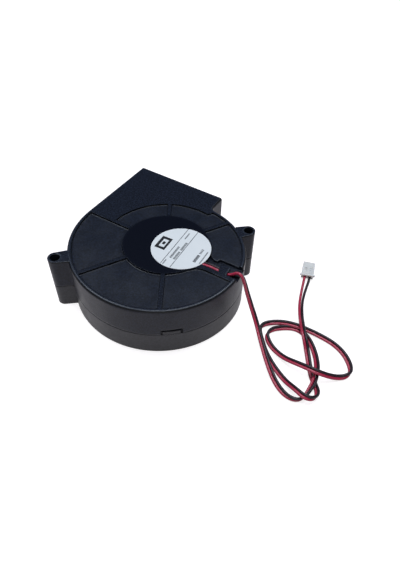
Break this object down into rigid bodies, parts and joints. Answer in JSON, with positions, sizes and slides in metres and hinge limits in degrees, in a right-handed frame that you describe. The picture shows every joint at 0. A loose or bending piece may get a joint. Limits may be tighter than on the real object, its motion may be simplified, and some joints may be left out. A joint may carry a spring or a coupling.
{
  "type": "dc blower fan",
  "caption": "Small scroll housing blower with a forward curved impeller on a brushless motor, round top label, mounting lugs and twin leads to a white connector.",
  "frame": {"origin": "rotor axis in the plane of the inlet face, at the centre of the inlet bore", "axes": "+Z along the rotor axis from the inlet to the motor side and label, +Y the way the air leaves, +X toward the lead channel"},
  "size_m": [0.1412, 0.093, 0.0278],
  "materials": {
    "housing_plastic": "fine spark grain, glass filled polyester",
    "rotor_plastic": "fine grain, black",
    "label_film": "printed film with a faint satin",
    "bearing_steel": "ground",
    "sintered_bronze": "sintered and oil filled",
    "oil_rubber": "moulded",
    "spring_steel": "rolled",
    "yoke_steel": "zinc plated",
    "magnet": "bonded ferrite",
    "brass": "turned",
    "lamination_steel": "stacked sheet",
    "insulator_plastic": "moulded natural",
    "washer_plastic": "stamped sheet",
    "copper_wire": "enamelled",
    "board": "solder mask",
    "tinned_metal": "tinned",
    "component_black": "moulded",
    "ceramic": "fired",
    "plug_plastic": "moulded natural nylon",
    "red_pvc": "semi gloss insulation",
    "black_pvc": "semi gloss insulation"
  },
  "bodies": {
    "housing": {"motor_housing": "housing_plastic", "inlet_cover": "housing_plastic", "label": "label_film", "bearing_tube": "brass", "bearing_sleeve": "sintered_bronze", "stator_core": "lamination_steel", "upper_insulator": "insulator_plastic", "lower_insulator": "insulator_plastic", "winding_1": "copper_wire", "winding_2": "copper_wire", "winding_3": "copper_wire", "winding_4": "copper_wire", "circuit_board": "board", "terminal_pins": "tinned_metal", "drive_chip": "component_black", "filter_capacitor": "ceramic", "polarity_diode": "component_black", "bias_resistor": "component_black", "connector_housing": "plug_plastic", "crimp_terminals": "tinned_metal", "red_lead": "red_pvc", "black_lead": "black_pvc"},
    "rotor": {"impeller": "rotor_plastic", "rotor_yoke": "yoke_steel", "magnet_ring": "magnet", "shaft_bush": "brass", "shaft": "bearing_steel", "oil_ring": "oil_rubber", "thrust_washer": "washer_plastic", "retaining_clip": "spring_steel"}
  },
  "joints": [
    {"name": "rotor_spin", "type": "hinge", "parent": "housing", "child": "rotor", "pos_m": [0, 0, 0.0135], "axis": [0, 0, -1], "continuous": true}
  ]
}
